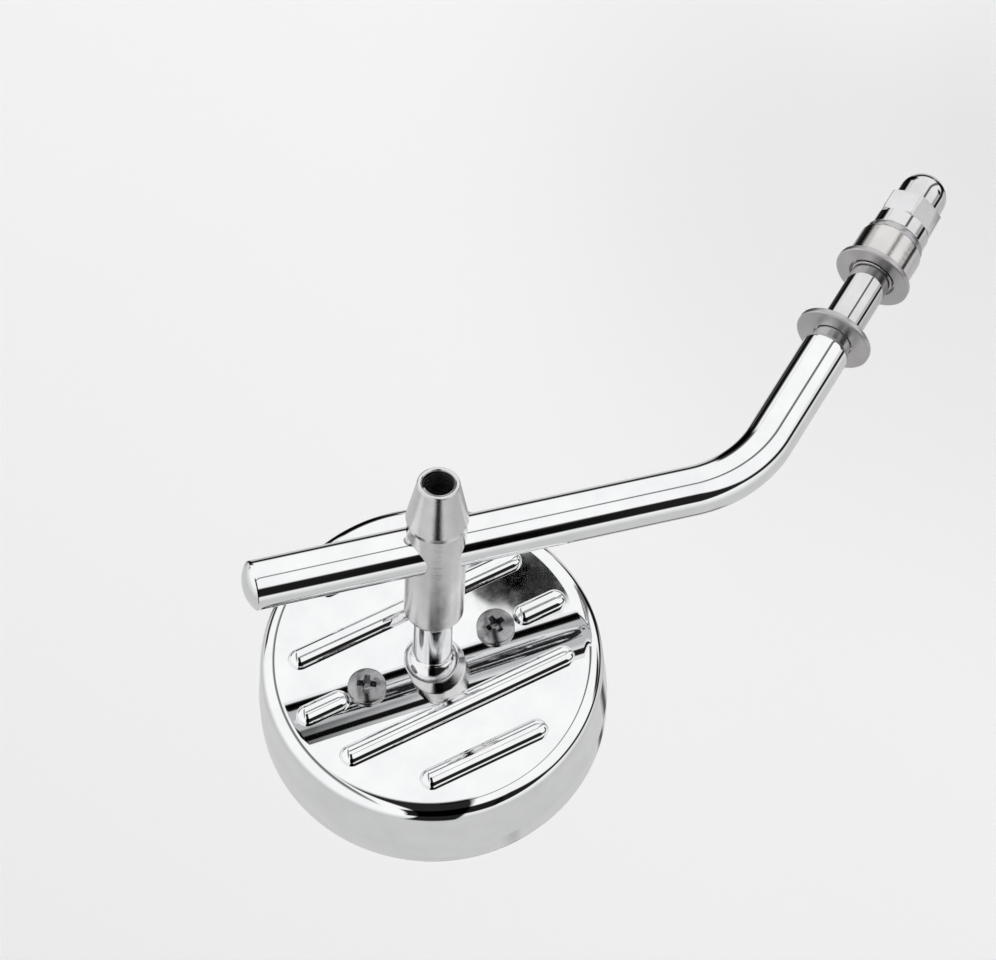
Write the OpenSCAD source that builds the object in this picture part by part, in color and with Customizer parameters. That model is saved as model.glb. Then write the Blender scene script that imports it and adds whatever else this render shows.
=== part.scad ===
// Round motorcycle mirror on a bent arm, as fitted to a handlebar bracket.
// The stud axis is Z. The mounting seat, under the inner washer, is at z = 0.
// The arm rises from the seat and the glass faces +Y, towards the rider.

/* [Arm] */
// Diameter of the round rod
arm_d = 12.7; // [10:0.1:16]
// Height of the arm's shoulder above the seat
shoulder_z = 4.7; // [3:0.1:12]
// Height at which the two straights of the arm would cross
bend_z = 51.8; // [40:0.1:90]
// Angle between the two straights
bend_angle = 45; // [20:1:70]
// Radius of the bend, at the rod's centre line
bend_r = 34; // [20:1:60]
// Distance from the crossing of the straights to the post
post_reach = 81.7; // [65:0.1:140]
// Length of the rod past the post
tip_reach = 50.2; // [15:0.1:90]
// Height of the rod's domed end
dome_h = 2.2; // [0.5:0.1:5]

/* [Stud and its hardware] */
// Outside diameter of the stud's thread
stud_d = 9.53; // [8:0.01:10]
// Diameter of the arm's step inside the inner washer
neck_d = 10.4; // [10:0.1:10.5]
// Outside diameter of the two flat washers
washer_d = 20.6; // [18:0.1:26]
// Thickness of each flat washer
washer_t = 1.6; // [1:0.1:3]
// Outside diameter of the sleeve that fills the bracket's hole
sleeve_d = 10.8; // [10.7:0.1:13]
// Length of the sleeve
sleeve_l = 21.5; // [10:0.1:35]
// Diameter of the wide collar
collar_d = 17.4; // [15:0.1:22]
// Length of the wide collar
collar_l = 9.9; // [4:0.1:16]
// Outside diameter of the split lock washer
lock_d = 16.2; // [14:0.1:19]
// Thickness of the split lock washer
lock_t = 2.4; // [1.5:0.1:3.5]
// Width of the lock washer's split
lock_split = 1.1; // [0.6:0.1:2]
// Width across the flats of the domed nut
nut_flats = 14.3; // [12.7:0.1:17]
// Height of the nut's round foot
nut_foot_h = 4.4; // [1:0.1:6]
// Height of the nut's six flats
nut_hex_h = 7; // [5:0.1:10]
// Diameter of the nut's dome
nut_dome_d = 12.9; // [11:0.1:14]
// Length of the straight part under the dome
nut_crown = 4.7; // [1:0.1:8]
// Turn of the nut's flats
nut_turn = 20.3; // [0:0.1:60]

/* [Clamp post] */
// Diameter of the post's body
post_d = 15.3; // [14.6:0.1:20]
// Diameter of the edge below the cone
post_edge_d = 15.9; // [15.4:0.1:20.5]
// Diameter of the post's flat top
post_top_d = 10.6; // [9.6:0.1:14]
// Height of the top above the arm's centre line
post_top_z = 24.3; // [18:0.1:34]
// Height of the cone's lower edge above the arm's centre line
cone_z = 11.3; // [9:0.1:15]
// Length of the post below the arm's centre line
post_foot_z = 27.8; // [20:0.1:40]
// Length of the taper at the post's lower end
foot_taper = 3.4; // [1:0.1:8]
// Diameter of the tapped hole in the top
set_hole_d = 8; // [6:0.1:8.4]
// Length of the set screw
set_screw_l = 7; // [5:0.1:9]
// Width across the flats of the set screw's socket
set_socket = 4; // [2.5:0.1:5]
// Turn of the post about the arm
post_turn = 7.3; // [-20:0.1:20]

/* [Ball joint] */
// Diameter of the ball
ball_d = 14.2; // [13.5:0.1:15]
// Diameter of the ball's neck
neck_ball_d = 10.1; // [8.6:0.1:10.3]
// Diameter of the shank pressed into the post
shank_d = 8; // [6:0.1:9]
// Length of the shank
shank_l = 11; // [6:0.1:14]
// Distance from the arm's centre line to the ball's centre
ball_reach = 46.5; // [42:0.1:60]
// Depth of the ball's centre below the housing's flat back
ball_depth = 3.2; // [2.8:0.1:3.6]
// Depth of the flare around the ball's hole
flare_h = 0.45; // [0.2:0.05:0.7]
// Diameter of the flare at the flat back
flare_d = 14; // [13.6:0.1:15]
// Thickness of the friction seat under the ball
seat_t = 1.6; // [1.2:0.1:2]
// Thickness of each disc spring
spring_t = 0.9; // [0.6:0.1:1.2]
// Height of each disc spring's cone
spring_h = 0.6; // [0.3:0.1:0.9]
// Thickness of the pressure cap's floor
cap_floor = 2.3; // [1.8:0.1:3]
// Thickness of the hub's wall
hub_wall = 2.3; // [1.8:0.1:3]
// Thickness of the retainer plate
plate_t = 2.6; // [2:0.1:3.4]

/* [Housing] */
// Diameter of the housing at its front edge
head_d = 90.1; // [84:0.1:110]
// Depth of the housing, from flat back to front edge
head_depth = 28.3; // [28:0.1:36]
// Diameter of the flat back
flat_d = 78.6; // [76:0.1:96]
// Radius of the rounded shoulder
shoulder_r = 4.75; // [3:0.05:5.5]
// Thickness of the housing's wall
wall = 1.2; // [1:0.1:2]
// Tilt of the back, above level
head_pitch = 9.6; // [-5:0.1:12]
// Turn of the ribs from level
rib_turn = 55.2; // [0:0.1:90]
// Width of the ribs' round
rib_d = 6.2; // [4:0.1:7]
// Height of the ribs above the flat back
rib_h = 2.4; // [1:0.1:3]
// Distance between the rows of ribs
rib_pitch = 15; // [12:0.1:16]
// Half length of the two long ribs
rib_long = 30.2; // [20:0.1:32]
// Half length of the two short ribs
rib_short = 14.9; // [8:0.1:18]
// Where the two ribs in the middle row begin
rib_in = 26.6; // [26.5:0.1:29]
// Where the two ribs in the middle row end
rib_out = 35.3; // [32:0.1:36]

/* [Housing screws] */
// Distance between the two screws
screw_pitch = 36.74; // [34:0.01:40]
// Diameter of the screws
screw_d = 5; // [4:0.1:5.2]
// Diameter of the screws' heads
screw_head_d = 9.9; // [8:0.1:10.5]
// Height of the screws' heads
screw_head_h = 3; // [2:0.1:3.8]

/* [Glass] */
// Width of the bright ring in front
bezel_lip = 2; // [1.4:0.1:3]
// Depth of the bezel's outer band
bezel_h = 2.7; // [2.2:0.1:4]
// Width of the gasket seen in front
gasket_lip = 2.1; // [1.2:0.1:2.8]
// Thickness of the glass at its edge
glass_t = 2.2; // [1.8:0.1:2.6]
// Bulge of the convex glass
glass_bulge = 0.8; // [0.2:0.1:1]
// Thickness of the bright ring in front of the gasket
lip_t = 1.3; // [0.9:0.1:2]
// Thickness of the gasket in front of the glass
gasket_t = 1.5; // [1:0.1:2]
// Thickness of the foam pad behind the glass
pad_t = 1.1; // [0.6:0.1:1.6]
// Thickness of the steel disc behind the pad
disc_t = 1; // [0.6:0.1:1.5]
// Thickness of the ledge that the steel disc lies against
ledge_t = 1.4; // [1:0.1:2.2]

/* [Hidden] */
$fn = 96;
fit_gap = 0.05;      // running fit of a shaft in a hole, on the radius
press_gap = 0.02;    // between pieces pressed or slid together in one body
ball_gap = 0.1;      // all round the ball and round its seat
step_gap = 0.25;     // between the arm's step and the loose inner washer
spigot_wide = 0.3;   // the collar's spigot past the sleeve, on the radius
spigot_gap = 0.7;    // between the spigot and the outer washer
skirt_gap = 0.3;     // between the bezel's skirt and the housing's wall
glass_gap = 0.02;    // between the glass and its groove

arm_r = arm_d / 2;
bend_tangent = bend_r * tan(bend_angle / 2);
bend_start_z = bend_z - bend_tangent;
bend_thin = 0.01;    // the rod draws down a hair in the bend
bend_lap = 0.2;
arm_dir = [sin(bend_angle), 0, cos(bend_angle)];
arm_side = [cos(bend_angle), 0, -sin(bend_angle)];
post_centre = [0, 0, bend_z] + post_reach * arm_dir;
post_dir = sin(post_turn) * arm_side - cos(post_turn) * [0, 1, 0];
ball_centre = post_centre - ball_reach * post_dir;

sleeve_z = -sleeve_l;
outer_washer_z = sleeve_z - washer_t;
collar_z = outer_washer_z - collar_l;
lock_z = collar_z - lock_t;
nut_hex_z = lock_z - nut_foot_h;
nut_dome_z = nut_hex_z - nut_hex_h;
nut_corner_r = nut_flats / 2 / cos(30);
nut_crown_z = nut_dome_z - nut_crown;
spigot_r = sleeve_d / 2 + spigot_wide;
stud_end_z = nut_dome_z - 0.2;

// Heights in the head are measured from the ball's centre, outwards through the back.
ball_r = ball_d / 2;
head_r = head_d / 2;
socket_r = ball_r + ball_gap;
seat_r = socket_r + seat_t;
cap_r = seat_r + ball_gap;
hub_bore_r = cap_r + 0.3;
hub_r = hub_bore_r + hub_wall;
back_z = ball_depth;
side_r = flat_d / 2 + shoulder_r;
front_z = back_z - head_depth;
bezel_z = front_z + bezel_h;
pan_in_r = head_r - wall;
skirt_r = pan_in_r - skirt_gap;
gasket_r = skirt_r - wall / 2 - 0.05;
groove_r = gasket_r - 0.7;
lip_in_r = head_r - bezel_lip;
glass_in_r = lip_in_r - gasket_lip;
gasket_front_z = front_z + lip_t;
glass_front_z = gasket_front_z + gasket_t;
glass_back_z = glass_front_z + glass_t;
disc_z = glass_back_z + pad_t;
ledge_z = disc_z + disc_t;
seat_top_z = -socket_r / 2;
cap_top_z = -0.7 * cap_r;
cap_bottom_z = -cap_r - cap_floor;
spring_mid_z = cap_bottom_z - spring_t - spring_h;
plate_z = spring_mid_z - spring_t - spring_h;

// Moves a piece drawn about the post's axis, with the arm's centre line at z = 0.
module place_post() {
  translate(post_centre) rotate([0, bend_angle, 0]) rotate([0, 0, post_turn]) rotate([90, 0, 0])
    children();
}

// Moves a piece drawn about the head's axis, with the ball's centre at the origin.
module place_head() {
  translate(ball_centre) rotate([90 - head_pitch, 0, 0]) rotate([0, 0, rib_turn])
    children();
}

module ring(outer_r, inner_r, h) {
  difference() {
    cylinder(r = outer_r, h = h);
    translate([0, 0, -1]) cylinder(r = inner_r, h = h + 2);
  }
}

// The rod is turned down to a step and a threaded stud, then bent once.
module arm() {
  straight = post_reach - bend_tangent + tip_reach;
  dome_r = (pow(arm_r, 2) + pow(dome_h, 2)) / (2 * dome_h);
  color("Silver") {
    translate([0, 0, stud_end_z + 0.8]) cylinder(d = stud_d, h = -stud_end_z);
    translate([0, 0, stud_end_z]) cylinder(d1 = stud_d - 1.6, d2 = stud_d, h = 0.8);
    cylinder(d = neck_d, h = shoulder_z + 1);
    translate([0, 0, shoulder_z]) cylinder(r1 = arm_r - 0.7, r2 = arm_r, h = 0.7);
    translate([0, 0, shoulder_z + 0.7])
      cylinder(r = arm_r, h = bend_start_z - shoulder_z - 0.7 + bend_lap);
    translate([bend_r, 0, bend_start_z]) rotate([90, 0, 0]) rotate([0, 0, 180 - bend_angle])
      rotate_extrude(angle = bend_angle) translate([bend_r, 0]) circle(r = arm_r - bend_thin);
    translate([bend_r, 0, bend_start_z]) rotate([0, bend_angle, 0]) translate([-bend_r, 0, 0])
      intersection() {
        translate([0, 0, -bend_lap]) cylinder(r = arm_r, h = straight + bend_lap);
        union() {
          translate([0, 0, -1]) cylinder(r = arm_r + 1, h = straight - dome_h + 1);
          translate([0, 0, straight - dome_r]) sphere(r = dome_r);
        }
      }
  }
}

// Lies loosely round the arm's step.
module inner_washer() {
  color("Gray") ring(washer_d / 2, neck_d / 2 + step_gap, washer_t);
}

module spacer_sleeve() {
  color("Silver") translate([0, 0, sleeve_z]) ring(sleeve_d / 2, stud_d / 2 + fit_gap, sleeve_l);
}

module outer_washer() {
  color("Gray") translate([0, 0, outer_washer_z]) ring(washer_d / 2, spigot_r + spigot_gap, washer_t);
}

// Its spigot passes through the outer washer and meets the sleeve.
module collar_spacer() {
  edge = 0.5;
  color("Silver") translate([0, 0, collar_z]) rotate_extrude()
    polygon([[stud_d / 2 + fit_gap, 0], [collar_d / 2 - edge, 0], [collar_d / 2, edge],
      [collar_d / 2, collar_l - edge], [collar_d / 2 - edge, collar_l], [spigot_r, collar_l],
      [spigot_r, collar_l + washer_t], [stud_d / 2 + fit_gap, collar_l + washer_t]]);
}

module lock_washer() {
  color("Gray") translate([0, 0, lock_z]) difference() {
    ring(lock_d / 2, stud_d / 2 + fit_gap, lock_t);
    rotate([0, 0, -40]) translate([lock_d / 2 - 2, 0, lock_t / 2]) rotate([25, 0, 0])
      cube([8, lock_split, lock_t * 3], center = true);
  }
}

// Domed nut, open towards the arm.
module acorn_nut() {
  chamfer_h = (nut_corner_r - nut_flats / 2) * tan(35);
  foot_r = nut_flats / 2 + 0.35;
  color("Silver") difference() {
    union() {
      translate([0, 0, nut_hex_z - 0.2]) cylinder(r = foot_r, h = nut_foot_h + 0.2);
      intersection() {
        translate([0, 0, nut_dome_z]) rotate([0, 0, nut_turn])
          cylinder(r = nut_corner_r, h = nut_hex_h, $fn = 6);
        translate([0, 0, nut_dome_z]) union() {
          cylinder(r1 = nut_flats / 2, r2 = nut_corner_r + 0.1, h = chamfer_h);
          translate([0, 0, chamfer_h]) cylinder(r = nut_corner_r + 0.1, h = nut_hex_h - 2 * chamfer_h);
          translate([0, 0, nut_hex_h - chamfer_h])
            cylinder(r1 = nut_corner_r + 0.1, r2 = nut_flats / 2, h = chamfer_h);
        }
      }
      translate([0, 0, nut_crown_z]) cylinder(d = nut_dome_d, h = nut_crown + 0.1);
      translate([0, 0, nut_crown_z]) intersection() {
        sphere(d = nut_dome_d);
        translate([0, 0, -nut_dome_d]) cylinder(d = nut_dome_d + 2, h = nut_dome_d);
      }
    }
    translate([0, 0, nut_dome_z - 1]) cylinder(r = stud_d / 2 + fit_gap, h = nut_hex_h + nut_foot_h + 2);
  }
}

// Spindle-shaped post, cross-drilled for the arm and tapped from above.
module clamp_post() {
  edge = 0.5;
  color("LightGray") place_post() difference() {
    rotate_extrude() polygon([[0, -post_foot_z], [post_top_d / 2, -post_foot_z],
      [post_d / 2, foot_taper - post_foot_z], [post_d / 2, cone_z - 1.5],
      [post_edge_d / 2, cone_z], [post_top_d / 2 + edge / 2, post_top_z - edge],
      [post_top_d / 2 - edge / 2, post_top_z], [0, post_top_z]]);
    rotate([90, 0, 0]) translate([0, 0, -post_d]) cylinder(r = arm_r + fit_gap, h = 2 * post_d);
    cylinder(d = set_hole_d, h = post_top_z + 1);
    translate([0, 0, -post_foot_z - 1]) cylinder(d = shank_d, h = shank_l + 2);
  }
}

module set_screw() {
  tip_z = arm_r + fit_gap;
  screw_r = set_hole_d / 2 - fit_gap;
  color("DimGray") place_post() difference() {
    union() {
      translate([0, 0, tip_z]) cylinder(r1 = screw_r - 1, r2 = screw_r, h = 1);
      translate([0, 0, tip_z + 1]) cylinder(r = screw_r, h = set_screw_l - 1);
    }
    translate([0, 0, tip_z + set_screw_l - 3.5])
      cylinder(r = set_socket / 2 / cos(30), h = 5, $fn = 6);
  }
}

// Ball, neck and shank, turned from one bar.
module ball_stud() {
  color("WhiteSmoke") place_post() {
    translate([0, 0, -ball_reach]) sphere(r = ball_r);
    translate([0, 0, -ball_reach]) cylinder(d = neck_ball_d, h = ball_reach - post_foot_z);
    translate([0, 0, -post_foot_z - 1]) cylinder(r = shank_d / 2 - press_gap, h = shank_l + 1);
  }
}

// Half-round rib with ball-shaped ends, along X.
module rib(x_start, x_end, y) {
  sink = rib_d / 2 - rib_h;
  translate([x_start, y, back_z - sink]) {
    sphere(d = rib_d);
    rotate([0, 90, 0]) cylinder(d = rib_d, h = x_end - x_start);
    translate([x_end - x_start, 0, 0]) sphere(d = rib_d);
  }
}

// Half section of the shell, inset by t from the outside. Its wall is upright round the ledge.
module pan_section(t) {
  corner_z = back_z - shoulder_r;
  square_z = corner_z - 0.1;
  translate([0, square_z]) square([flat_d / 2, back_z - t - square_z]);
  intersection() {
    translate([flat_d / 2, corner_z]) circle(r = shoulder_r - t);
    translate([0, square_z]) square([head_r, shoulder_r + 1]);
  }
  polygon([[0, corner_z], [side_r - t, corner_z], [head_r - t, ledge_z + ledge_t],
    [head_r - t, bezel_z - t], [0, bezel_z - t]]);
}

// Shell with its ribs, ball socket, screw bosses and glass ledge.
module housing_pan() {
  color("Gainsboro") place_head() difference() {
    union() {
      difference() {
        rotate_extrude() pan_section(0);
        rotate_extrude() pan_section(wall);
      }
      translate([0, 0, plate_z]) cylinder(r = hub_r, h = back_z - plate_z - 0.2);
      for (side = [-1, 1]) translate([side * screw_pitch / 2, 0, plate_z])
        cylinder(r = screw_d / 2 + 1.9, h = back_z - plate_z - 0.2);
      translate([0, 0, ledge_z]) ring(pan_in_r + wall / 3, glass_in_r, ledge_t);
      for (side = [-1, 1]) {
        intersection() {
          rib(-rib_long, rib_long, side * rib_pitch);
          translate([0, 0, back_z - 1]) cylinder(r = flat_d / 2, h = 5);
        }
        intersection() {
          rib(-rib_short, rib_short, side * 2 * rib_pitch);
          translate([0, 0, back_z - 1]) cylinder(r = flat_d / 2, h = 5);
        }
      }
      intersection() {
        union() {
          rib(-rib_out, -rib_in, 0);
          rib(rib_in, rib_out, 0);
        }
        translate([0, 0, back_z - 1]) cylinder(r = flat_d / 2, h = 5);
      }
    }
    translate([0, 0, bezel_z - head_depth]) cylinder(r = head_r + side_r, h = head_depth);
    sphere(r = socket_r);
    translate([0, 0, plate_z - 1]) cylinder(r = hub_bore_r, h = -plate_z + 0.7);
    translate([0, 0, back_z - flare_h])
      cylinder(r1 = sqrt(pow(socket_r, 2) - pow(back_z - flare_h, 2)), d2 = flare_d, h = flare_h + 0.01);
    for (side = [-1, 1]) translate([side * screw_pitch / 2, 0, plate_z - 1])
      cylinder(r = screw_d / 2 + 0.15, h = head_depth);
  }
}

// Cup under the ball, round inside and out so that it can turn both ways.
module ball_seat() {
  color("Ivory") place_head() difference() {
    sphere(r = seat_r);
    sphere(r = socket_r);
    translate([0, 0, seat_top_z]) cylinder(r = seat_r + 1, h = 2 * seat_r);
    translate([0, 0, -seat_r - 1]) cylinder(r = seat_r / 4, h = seat_r);
  }
}

module pressure_cap() {
  color("Gray") place_head() difference() {
    translate([0, 0, cap_bottom_z]) cylinder(r = cap_r, h = cap_top_z - cap_bottom_z);
    sphere(r = cap_r);
  }
}

// Cone-shaped spring washer, drawn with its wide side up.
module disc_spring() {
  outer_r = cap_r - 0.2;
  inner_r = outer_r / 2;
  rotate_extrude() polygon([[inner_r, 0], [outer_r, spring_h], [outer_r, spring_h + spring_t],
    [inner_r, spring_t]]);
}

module upper_disc_spring() {
  color("DarkGray") place_head() translate([0, 0, cap_bottom_z]) mirror([0, 0, 1]) disc_spring();
}

module lower_disc_spring() {
  color("DarkGray") place_head() translate([0, 0, plate_z]) disc_spring();
}

module retainer_plate() {
  tab_r = screw_d / 2 + 2.2;
  color("DarkGray") place_head() translate([0, 0, plate_z - plate_t]) difference() {
    union() {
      cylinder(r = hub_r, h = plate_t);
      for (side = [-1, 1]) translate([side * screw_pitch / 2, 0, 0]) cylinder(r = tab_r, h = plate_t);
      translate([-screw_pitch / 2, -tab_r, 0]) cube([screw_pitch, 2 * tab_r, plate_t]);
    }
    for (side = [-1, 1]) translate([side * screw_pitch / 2, 0, -1])
      cylinder(r = screw_d / 2 + press_gap, h = plate_t + 2);
    translate([0, 0, -1]) cylinder(r = 3, h = plate_t + 2);
  }
}

// Two pan-head screws with cross recesses.
module housing_screws() {
  head_r2 = screw_head_d / 2;
  edge_h = screw_head_h * 0.45;
  top_h = screw_head_h - edge_h;
  top_r = (pow(head_r2, 2) + pow(top_h, 2)) / (2 * top_h);
  color("Silver") place_head() for (side = [-1, 1])
    translate([side * screw_pitch / 2, 0, back_z]) rotate([0, 0, side * 20 - 25]) difference() {
      union() {
        cylinder(r = head_r2, h = edge_h);
        intersection() {
          translate([0, 0, screw_head_h - top_r]) sphere(r = top_r);
          cylinder(r = head_r2, h = screw_head_h);
        }
        translate([0, 0, plate_z - plate_t - back_z]) cylinder(d = screw_d, h = back_z - plate_z + plate_t);
      }
      intersection() {
        translate([0, 0, screw_head_h - 2.4]) cylinder(r1 = 0.9, r2 = 2.8, h = 2.5);
        union() {
          translate([-3, -0.6, 0]) cube([6, 1.2, 6]);
          translate([-0.6, -3, 0]) cube([1.2, 6, 6]);
        }
      }
    }
}

// Bright ring that closes the housing's mouth, with a skirt inside the wall.
module bezel_ring() {
  edge = 0.8;
  color("Gainsboro") place_head() rotate_extrude()
    polygon([[lip_in_r, front_z + 0.3], [lip_in_r + 0.3, front_z], [head_r - edge, front_z],
      [head_r - edge * 0.3, front_z + edge * 0.3], [head_r, front_z + edge], [head_r, bezel_z],
      [skirt_r, bezel_z], [skirt_r, disc_z], [gasket_r + press_gap, disc_z],
      [gasket_r + press_gap, gasket_front_z], [lip_in_r, gasket_front_z]]);
}

// Rubber ring with a groove for the glass.
module glass_gasket() {
  color([0.06, 0.06, 0.06]) place_head() rotate_extrude()
    polygon([[glass_in_r, gasket_front_z + 0.5], [glass_in_r + 0.5, gasket_front_z],
      [gasket_r, gasket_front_z], [gasket_r, disc_z], [glass_in_r, disc_z],
      [glass_in_r, glass_back_z], [groove_r, glass_back_z], [groove_r, glass_front_z],
      [glass_in_r, glass_front_z]]);
}

module backing_disc() {
  color("DarkGray") place_head() translate([0, 0, disc_z]) cylinder(r = skirt_r, h = ledge_z - disc_z);
}

module glass_pad() {
  color([0.15, 0.15, 0.15]) place_head() translate([0, 0, glass_back_z])
    cylinder(r = glass_in_r - 0.2, h = disc_z - glass_back_z);
}

// Convex mirror glass with a flat back.
module mirror_glass() {
  glass_r = groove_r - glass_gap;
  steps = 8;
  curve = [for (i = [0 : steps]) [glass_in_r * (1 - i / steps),
    glass_front_z - glass_bulge * (1 - pow(1 - i / steps, 2))]];
  color([0.85, 0.88, 0.9]) place_head() rotate_extrude()
    polygon(concat([[0, glass_back_z], [glass_r, glass_back_z], [glass_r, glass_front_z]], curve));
}

arm();
inner_washer();
spacer_sleeve();
outer_washer();
collar_spacer();
lock_washer();
acorn_nut();
clamp_post();
set_screw();
ball_stud();
housing_pan();
ball_seat();
pressure_cap();
upper_disc_spring();
lower_disc_spring();
retainer_plate();
housing_screws();
bezel_ring();
glass_gasket();
backing_disc();
glass_pad();
mirror_glass();
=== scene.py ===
import bpy
import bmesh
import math
from mathutils import Matrix, Vector


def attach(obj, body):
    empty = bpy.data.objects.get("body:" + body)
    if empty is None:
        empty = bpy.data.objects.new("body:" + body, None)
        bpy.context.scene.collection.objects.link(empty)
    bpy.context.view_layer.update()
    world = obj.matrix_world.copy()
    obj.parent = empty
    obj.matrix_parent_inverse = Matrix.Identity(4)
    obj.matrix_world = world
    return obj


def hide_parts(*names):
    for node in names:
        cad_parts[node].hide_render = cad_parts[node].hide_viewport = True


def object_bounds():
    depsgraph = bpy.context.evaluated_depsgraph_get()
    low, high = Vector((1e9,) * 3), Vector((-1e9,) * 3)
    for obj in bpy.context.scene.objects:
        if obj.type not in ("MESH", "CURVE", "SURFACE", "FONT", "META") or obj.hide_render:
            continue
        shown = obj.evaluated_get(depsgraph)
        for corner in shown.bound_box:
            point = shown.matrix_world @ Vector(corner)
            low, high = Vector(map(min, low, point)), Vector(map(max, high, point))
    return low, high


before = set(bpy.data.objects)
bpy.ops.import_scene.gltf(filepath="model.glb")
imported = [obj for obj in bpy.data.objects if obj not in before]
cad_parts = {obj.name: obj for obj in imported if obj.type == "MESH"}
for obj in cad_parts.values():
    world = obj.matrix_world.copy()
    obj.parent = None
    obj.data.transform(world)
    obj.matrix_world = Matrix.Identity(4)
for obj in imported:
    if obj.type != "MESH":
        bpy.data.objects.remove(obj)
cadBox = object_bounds()
print("frame loaded")

mm = Matrix.Scale(0.001, 4)
bendAngle = math.radians(45)
bendHeight = 51.8         # where the two straights of the arm would cross
bendRadius = 34.0
postReach = 81.7
postTurn = math.radians(7.3)
ballReach = 46.5
ballDepth = 3.2
headPitch = math.radians(9.6)
ribTurn = math.radians(55.2)


def turn(angle, axis):
    return Matrix.Rotation(angle, 4, axis)


armDirection = Vector((math.sin(bendAngle), 0, math.cos(bendAngle)))
postCentre = Vector((0, 0, bendHeight)) + postReach * armDirection
postPlace = (mm @ Matrix.Translation(postCentre) @ turn(bendAngle, "Y") @ turn(postTurn, "Z")
             @ turn(math.pi / 2, "X"))
ballCentre = (mm.inverted() @ postPlace) @ Vector((0, 0, -ballReach))
headPlace = mm @ Matrix.Translation(ballCentre) @ turn(math.pi / 2 - headPitch, "X") @ turn(ribTurn, "Z")
backPlace = headPlace @ Matrix.Translation((0, 0, ballDepth))      # flat back at z = 0


# Shapes

def newObject(name, data):
    obj = bpy.data.objects.new(name, data)
    bpy.context.scene.collection.objects.link(obj)
    return obj


# corners are (radius, height, fillet)
def roundedOutline(corners, closed=False, steps=6):
    points = []
    count = len(corners)
    for i, (r, z, fillet) in enumerate(corners):
        here = Vector((r, z))
        if fillet <= 0 or (not closed and i in (0, count - 1)):
            points.append(here)
            continue
        before = Vector(corners[i - 1][:2]) - here
        after = Vector(corners[(i + 1) % count][:2]) - here
        a, b = before.normalized(), after.normalized()
        half = math.acos(max(-1, min(1, a.dot(b)))) / 2
        if half > math.pi / 2 - 0.01:
            points.append(here)
            continue
        reach = min(fillet / math.tan(half), before.length * 0.49, after.length * 0.49)
        radius = reach * math.tan(half)
        centre = here + (a + b).normalized() * (radius / math.sin(half))
        start, end = here + a * reach - centre, here + b * reach - centre
        for k in range(steps + 1):
            part = start.lerp(end, k / steps)
            points.append(centre + part.normalized() * radius)
    return points


def markEdges(bm, angle=32):
    limit = math.radians(angle)
    for face in bm.faces:
        face.smooth = True
    for edge in bm.edges:
        if len(edge.link_faces) == 2:
            edge.smooth = edge.calc_face_angle(0) < limit


def finishMesh(bm, name, material):
    bmesh.ops.remove_doubles(bm, verts=bm.verts, dist=1e-8)
    bmesh.ops.recalc_face_normals(bm, faces=bm.faces)
    markEdges(bm)
    mesh = bpy.data.meshes.new(name)
    bm.to_mesh(mesh)
    bm.free()
    obj = newObject(name, mesh)
    if material:
        mesh.materials.append(material)
    return obj


# Extra points near the ends of long straight runs keep the shading of the curved edges to themselves
def supported(outline, ring, longRun=1.5, inset=0.2):
    points = []
    pairs = list(zip(outline, outline[1:]))
    if ring:
        pairs.append((outline[-1], outline[0]))
    for a, b in pairs:
        points.append(a)
        long = math.hypot(b[0] - a[0], b[1] - a[1])
        if long > longRun:
            points += [(a[0] + (b[0] - a[0]) * t, a[1] + (b[1] - a[1]) * t)
                       for t in (inset / long, 1 - inset / long)]
    return points if ring else points + [outline[-1]]


# Faces between two rows of points. A row may also be a single point
def skin(bm, low, high, steps):
    for k in range(steps):
        n = (k + 1) % steps
        unique = []
        for v in (low[k % len(low)], low[n % len(low)], high[n % len(high)], high[k % len(high)]):
            if v not in unique:
                unique.append(v)
        if len(unique) > 2:
            bm.faces.new(unique)


def turnedPiece(name, outline, place, material=None, ring=False, steps=160):
    bm = bmesh.new()
    rows = []
    for r, z in supported(outline, ring):
        if r < 1e-6:
            rows.append([bm.verts.new(place @ Vector((0, 0, z)))])
        else:
            rows.append([bm.verts.new(place @ Vector((r * math.cos(a), r * math.sin(a), z)))
                         for a in (2 * math.pi * k / steps for k in range(steps))])
    pairs = list(zip(rows, rows[1:]))
    if ring:
        pairs.append((rows[-1], rows[0]))
    for low, high in pairs:
        skin(bm, low, high, steps)
    return finishMesh(bm, name, material)


# stations are (centre, direction, radius) along the rod
def tubePiece(name, stations, place, material=None, steps=128):
    bm = bmesh.new()
    rows = []
    side = Vector((0, 1, 0))
    for centre, direction, radius in stations:
        other = direction.cross(side).normalized()
        if radius < 1e-6:
            rows.append([bm.verts.new(place @ centre)])
            continue
        rows.append([bm.verts.new(place @ (centre + radius * (math.cos(a) * side + math.sin(a) * other)))
                     for a in (2 * math.pi * k / steps for k in range(steps))])
    for low, high in zip(rows, rows[1:]):
        skin(bm, low, high, steps)
    return finishMesh(bm, name, material)


def prismPiece(name, radius, low, high, place, turned=0.0):
    bm = bmesh.new()
    sides = 6
    rows = [[bm.verts.new(place @ Vector((radius * math.cos(turned + 2 * math.pi * k / sides),
                                          radius * math.sin(turned + 2 * math.pi * k / sides), z)))
             for k in range(sides)] for z in (low, high)]
    bm.faces.new(rows[0])
    bm.faces.new(rows[1])
    for k in range(sides):
        bm.faces.new([rows[0][k - 1], rows[0][k], rows[1][k], rows[1][k - 1]])
    return finishMesh(bm, name, None)


# Turns what the modifiers give into a plain mesh
def applied(obj):
    graph = bpy.context.evaluated_depsgraph_get()
    mesh = bpy.data.meshes.new_from_object(obj.evaluated_get(graph), depsgraph=graph)
    obj.modifiers.clear()
    old = obj.data
    obj.data = mesh
    if isinstance(old, bpy.types.Mesh) and old.users == 0:
        bpy.data.meshes.remove(old)
    return obj


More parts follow.
